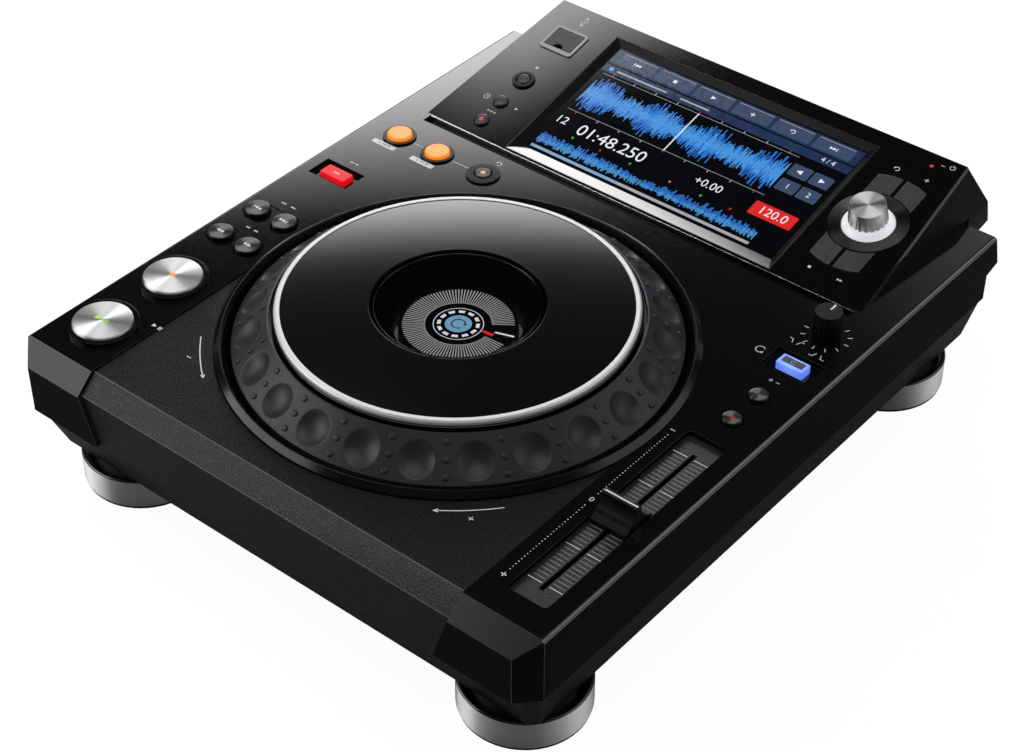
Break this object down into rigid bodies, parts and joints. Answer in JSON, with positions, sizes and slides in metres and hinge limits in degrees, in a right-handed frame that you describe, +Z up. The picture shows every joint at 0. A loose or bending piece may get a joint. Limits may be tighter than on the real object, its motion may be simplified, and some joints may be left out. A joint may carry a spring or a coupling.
{
  "type": "dj media player",
  "caption": "Tabletop media player deck with a large jog wheel, tilted touch screen, tempo fader, push buttons and round ringed feet, for cueing and playing music.",
  "frame": {"origin": "on the table under the middle of the overall box", "axes": "+X to the user's right, +Y to the back, +Z up"},
  "size_m": [0.306, 0.3872, 0.109],
  "materials": {
    "cabinet_black": "semi-gloss black moulding",
    "front_grain": "fine leather-grained dark grey",
    "surround_black": "gloss black ring",
    "inner_plastic": "plain black moulding, inside",
    "bush_plastic": "pale bearing plastic",
    "jog_display": "small lit round display",
    "dial_grey": "matte rubbery dark grey",
    "plate_dark": "satin dark speckled disc",
    "trim_silver": "satin silver ring",
    "jog_window": "clear gloss window",
    "housing_black": "gloss black moulding",
    "panel_black": "gloss black face plate",
    "bezel_grey": "satin grey frame",
    "touch_glass": "clear touch glass",
    "lcd_dark": "lit display module",
    "lit_white": "white lit plastic",
    "lid_grey": "satin dark grey flap",
    "steel": "plain metal",
    "spun_metal": "spun metal disc",
    "button_dark": "dark spun gloss button",
    "lit_red": "red lit button",
    "lit_orange": "orange lit button",
    "lit_blue": "pale blue lit button",
    "segment_grey": "gloss grey key",
    "bezel_black": "gloss black button ring",
    "board_green": "circuit board",
    "knob_chrome": "polished fluted knob",
    "knob_black": "black fluted knob",
    "scale_grey": "satin dark grey scale plate",
    "cap_black": "satin black fader cap",
    "chassis_black": "black painted sheet",
    "rear_black": "black painted panel",
    "socket_black": "black socket body",
    "jack_metal": "plated jack barrels",
    "foot_metal": "satin turned ring",
    "foot_black": "black foot core",
    "foot_rubber": "rubber pad",
    "screw_black": "blackened screws"
  },
  "bodies": {
    "deck": {"upper_cabinet": "cabinet_black", "front_panel": "front_grain", "jog_surround": "surround_black", "jog_base": "inner_plastic", "jog_bush": "bush_plastic", "jog_display": "jog_display", "display_housing": "housing_black", "display_panel": "panel_black", "screen_bezel": "bezel_grey", "touch_glass": "touch_glass", "lcd_module": "lcd_dark", "usb_frame": "lit_white", "usb_socket": "steel", "button_bezels": "bezel_black", "circuit_boards": "board_green", "browse_ring": "surround_black", "browse_glow": "lit_white", "knob_bodies": "steel", "tempo_plate": "scale_grey", "tempo_fader": "inner_plastic", "bottom_chassis": "chassis_black", "power_supply": "inner_plastic", "rear_panel": "rear_black", "ac_inlet": "socket_black", "audio_jacks": "jack_metal", "data_sockets": "steel", "foot_cores": "foot_black", "foot_rings": "foot_metal", "foot_pads": "foot_rubber", "case_screws": "screw_black"},
    "jog": {"jog_dial": "dial_grey"},
    "jog_press": {"jog_plate": "plate_dark", "jog_trim": "trim_silver", "jog_window": "jog_window"},
    "play_button": {"play_button": "spun_metal"},
    "cue_button": {"cue_button": "spun_metal"},
    "search_back": {"search_back": "button_dark"},
    "search_forward": {"search_forward": "button_dark"},
    "track_back": {"track_back": "button_dark"},
    "track_next": {"track_next": "button_dark"},
    "loop_in": {"loop_in": "lit_orange"},
    "loop_out": {"loop_out": "lit_orange"},
    "reloop": {"reloop": "button_dark"},
    "tempo_range": {"tempo_range": "button_dark"},
    "master_tempo": {"master_tempo": "button_dark"},
    "direction_button": {"direction_button": "lit_red"},
    "jog_mode": {"jog_mode": "lit_blue"},
    "usb_stop": {"usb_stop": "button_dark"},
    "time_mode": {"time_mode": "button_dark"},
    "quantize": {"quantize": "button_dark"},
    "browse_back": {"browse_back": "segment_grey"},
    "tag_track": {"tag_track": "segment_grey"},
    "track_filter": {"track_filter": "segment_grey"},
    "shortcut": {"shortcut": "segment_grey"},
    "usb_lid": {"usb_lid": "lid_grey"},
    "browse_push": {"browse_shaft": "steel"},
    "browse_knob": {"browse_knob": "knob_chrome"},
    "speed_knob": {"speed_knob": "knob_black"},
    "tempo_cap": {"tempo_cap": "cap_black"},
    "power_button": {"power_button": "socket_black"}
  },
  "joints": [
    {"name": "jog_turn", "type": "hinge", "parent": "deck", "child": "jog", "pos_m": [0, -0.05751, 0.0834], "axis": [0, 0, 1], "continuous": true},
    {"name": "jog_plate_press", "type": "slide", "parent": "jog", "child": "jog_press", "axis": [0, 0, -1], "range_m": [0, 0.0004], "stiffness_N_per_m": 6000, "springref_m": -0.0006},
    {"name": "play_button_press", "type": "slide", "parent": "deck", "child": "play_button", "axis": [0, 0, -1], "range_m": [0, 0.001], "stiffness_N_per_m": 800, "springref_m": -0.0005},
    {"name": "cue_button_press", "type": "slide", "parent": "deck", "child": "cue_button", "axis": [0, 0, -1], "range_m": [0, 0.001], "stiffness_N_per_m": 800, "springref_m": -0.0005},
    {"name": "search_back_press", "type": "slide", "parent": "deck", "child": "search_back", "axis": [0, 0, -1], "range_m": [0, 0.001], "stiffness_N_per_m": 800, "springref_m": -0.0005},
    {"name": "search_forward_press", "type": "slide", "parent": "deck", "child": "search_forward", "axis": [0, 0, -1], "range_m": [0, 0.001], "stiffness_N_per_m": 800, "springref_m": -0.0005},
    {"name": "track_back_press", "type": "slide", "parent": "deck", "child": "track_back", "axis": [0, 0, -1], "range_m": [0, 0.001], "stiffness_N_per_m": 800, "springref_m": -0.0005},
    {"name": "track_next_press", "type": "slide", "parent": "deck", "child": "track_next", "axis": [0, 0, -1], "range_m": [0, 0.001], "stiffness_N_per_m": 800, "springref_m": -0.0005},
    {"name": "loop_in_press", "type": "slide", "parent": "deck", "child": "loop_in", "axis": [0, 0, -1], "range_m": [0, 0.001], "stiffness_N_per_m": 800, "springref_m": -0.0005},
    {"name": "loop_out_press", "type": "slide", "parent": "deck", "child": "loop_out", "axis": [0, 0, -1], "range_m": [0, 0.001], "stiffness_N_per_m": 800, "springref_m": -0.0005},
    {"name": "reloop_press", "type": "slide", "parent": "deck", "child": "reloop", "axis": [0, 0, -1], "range_m": [0, 0.001], "stiffness_N_per_m": 800, "springref_m": -0.0005},
    {"name": "tempo_range_press", "type": "slide", "parent": "deck", "child": "tempo_range", "axis": [0, 0, -1], "range_m": [0, 0.001], "stiffness_N_per_m": 800, "springref_m": -0.0005},
    {"name": "master_tempo_press", "type": "slide", "parent": "deck", "child": "master_tempo", "axis": [0, 0, -1], "range_m": [0, 0.001], "stiffness_N_per_m": 800, "springref_m": -0.0005},
    {"name": "direction_button_press", "type": "slide", "parent": "deck", "child": "direction_button", "axis": [0, 0, -1], "range_m": [0, 0.001], "stiffness_N_per_m": 800, "springref_m": -0.0005},
    {"name": "jog_mode_press", "type": "slide", "parent": "deck", "child": "jog_mode", "axis": [0, 0, -1], "range_m": [0, 0.001], "stiffness_N_per_m": 800, "springref_m": -0.0005},
    {"name": "usb_stop_press", "type": "slide", "parent": "deck", "child": "usb_stop", "axis": [0, 0.2215, -0.9751], "range_m": [0, 0.001], "stiffness_N_per_m": 800, "springref_m": -0.0005},
    {"name": "time_mode_press", "type": "slide", "parent": "deck", "child": "time_mode", "axis": [0, 0.2215, -0.9751], "range_m": [0, 0.001], "stiffness_N_per_m": 800, "springref_m": -0.0005},
    {"name": "quantize_press", "type": "slide", "parent": "deck", "child": "quantize", "axis": [0, 0.2215, -0.9751], "range_m": [0, 0.001], "stiffness_N_per_m": 800, "springref_m": -0.0005},
    {"name": "browse_back_press", "type": "slide", "parent": "deck", "child": "browse_back", "axis": [0, 0.2215, -0.9751], "range_m": [0, 0.001], "stiffness_N_per_m": 800, "springref_m": -0.0005},
    {"name": "tag_track_press", "type": "slide", "parent": "deck", "child": "tag_track", "axis": [0, 0.2215, -0.9751], "range_m": [0, 0.001], "stiffness_N_per_m": 800, "springref_m": -0.0005},
    {"name": "track_filter_press", "type": "slide", "parent": "deck", "child": "track_filter", "axis": [0, 0.2215, -0.9751], "range_m": [0, 0.001], "stiffness_N_per_m": 800, "springref_m": -0.0005},
    {"name": "shortcut_press", "type": "slide", "parent": "deck", "child": "shortcut", "axis": [0, 0.2215, -0.9751], "range_m": [0, 0.001], "stiffness_N_per_m": 800, "springref_m": -0.0005},
    {"name": "usb_lid_swing", "type": "hinge", "parent": "deck", "child": "usb_lid", "pos_m": [-0.105, 0.15812, 0.10246], "axis": [-1, 0, 0], "range_deg": [0, 95]},
    {"name": "browse_select", "type": "slide", "parent": "deck", "child": "browse_push", "axis": [0, 0.2215, -0.9751], "range_m": [0, 0.0006], "stiffness_N_per_m": 2000, "springref_m": -0.0006},
    {"name": "browse_turn", "type": "hinge", "parent": "browse_push", "child": "browse_knob", "pos_m": [0.1057, 0.12124, 0.10229], "axis": [0, -0.2215, 0.9751], "continuous": true},
    {"name": "speed_turn", "type": "hinge", "parent": "deck", "child": "speed_knob", "pos_m": [0.13149, 0.0492, 0.0904], "axis": [0, 0, -1], "range_deg": [-150, 150]},
    {"name": "tempo_slide", "type": "slide", "parent": "deck", "child": "tempo_cap", "axis": [0, 1, 0], "range_m": [-0.05, 0.05]},
    {"name": "power_press", "type": "slide", "parent": "deck", "child": "power_button", "axis": [0, -1, 0], "range_m": [0, 0.0015], "stiffness_N_per_m": 800, "springref_m": -0.0005}
  ]
}
